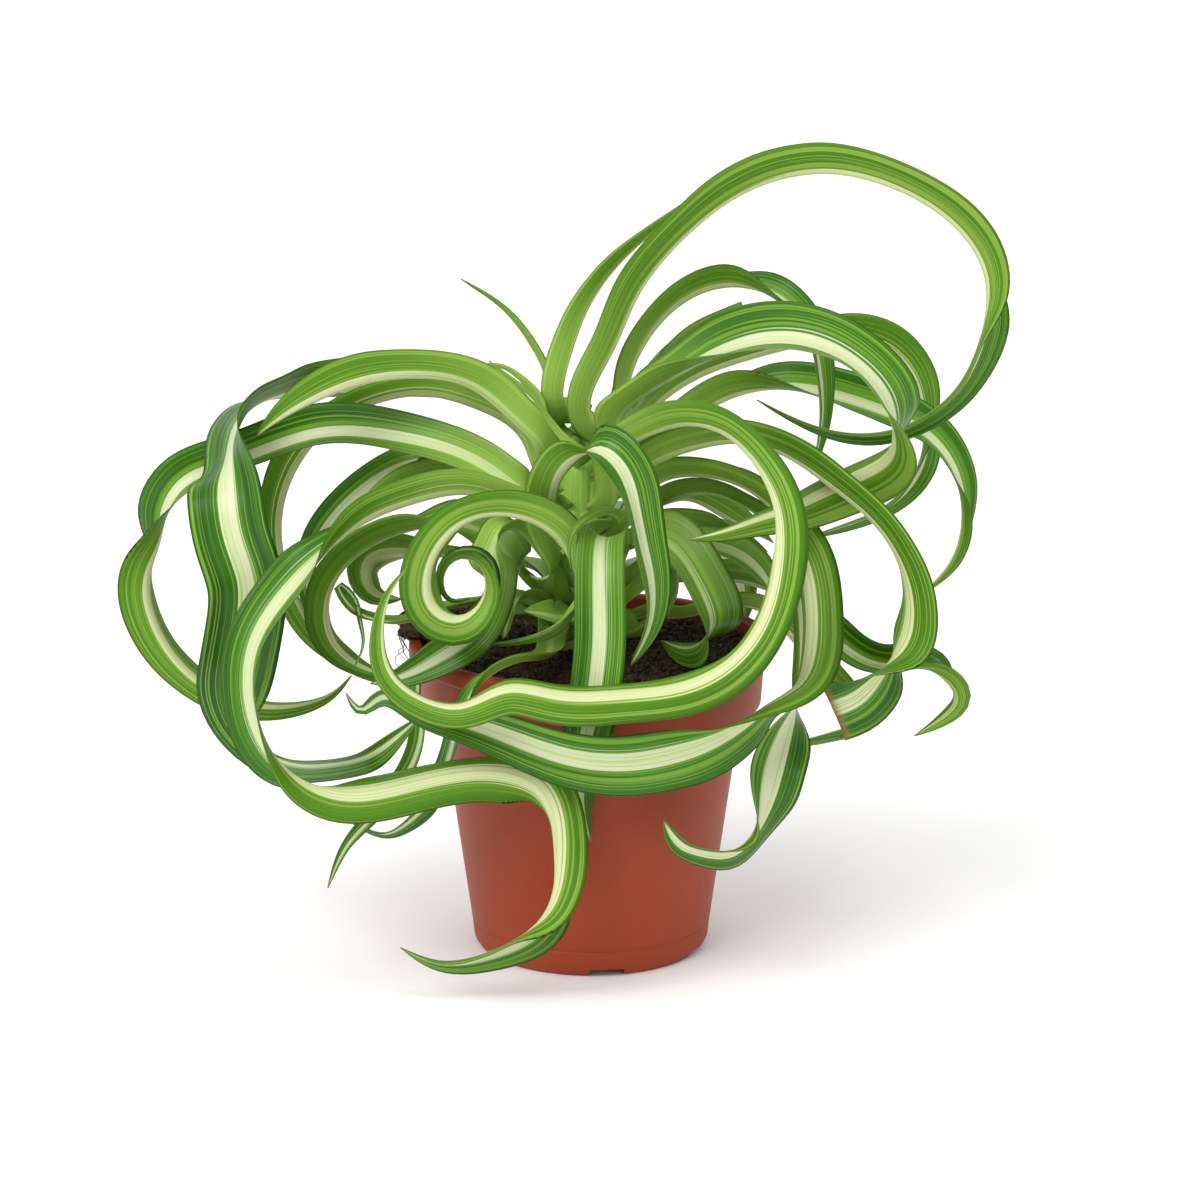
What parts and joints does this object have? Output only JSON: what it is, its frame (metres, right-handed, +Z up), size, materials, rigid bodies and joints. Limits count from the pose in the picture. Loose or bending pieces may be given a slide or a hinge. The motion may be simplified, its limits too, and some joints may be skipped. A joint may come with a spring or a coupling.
{
  "type": "potted spider plant",
  "caption": "Curly spider plant with looping striped leaves, standing in a round matt terracotta-coloured nursery pot.",
  "frame": {"origin": "middle of the pot's underside, on the ground", "axes": "+Z up the pot's axis, -Y towards the front of the plant, +X to the right as seen from the front"},
  "size_m": [0.2878, 0.1524, 0.2731],
  "materials": {
    "terracotta_plastic": "matt moulded polypropylene",
    "potting_soil": "crumbly peat with coir fibres",
    "crown_flesh": "smooth waxy leaf bases",
    "leaf_blade": "glossy leaf, cream midrib stripe"
  },
  "bodies": {
    "root": {"pot": "terracotta_plastic", "soil": "potting_soil", "crown": "crown_flesh", "front_hoop": "leaf_blade", "front_sash": "leaf_blade", "outer_hoop": "leaf_blade", "right_hanger": "leaf_blade", "great_loop": "leaf_blade", "shoulder": "leaf_blade", "pale_arch": "leaf_blade", "right_arch": "leaf_blade", "back_hook": "leaf_blade", "cut_blade": "leaf_blade", "low_right": "leaf_blade", "low_tuck": "leaf_blade", "inner_arch_high": "leaf_blade", "inner_arch_low": "leaf_blade", "olive_arch": "leaf_blade", "soil_droop": "leaf_blade", "back_droop": "leaf_blade", "soil_hook": "leaf_blade", "centre_arch": "leaf_blade", "centre_droop": "leaf_blade", "centre_wisp": "leaf_blade", "front_curl": "leaf_blade", "ring_wisp": "leaf_blade", "rim_drape": "leaf_blade", "left_ring": "leaf_blade", "back_curl": "leaf_blade", "soil_fan": "leaf_blade", "soil_blade": "leaf_blade", "left_wisp": "leaf_blade", "left_arch_high": "leaf_blade", "left_olive_ring": "leaf_blade", "left_broad": "leaf_blade", "left_far_loop": "leaf_blade", "left_big_loop": "leaf_blade", "left_mid_arch": "leaf_blade", "left_low_arch": "leaf_blade", "top_left_blade": "leaf_blade", "top_left_wisp_a": "leaf_blade", "top_left_wisp_b": "leaf_blade", "tall_blade": "leaf_blade", "low_left_strand": "leaf_blade", "low_left_curl": "leaf_blade"}
  },
  "joints": []
}
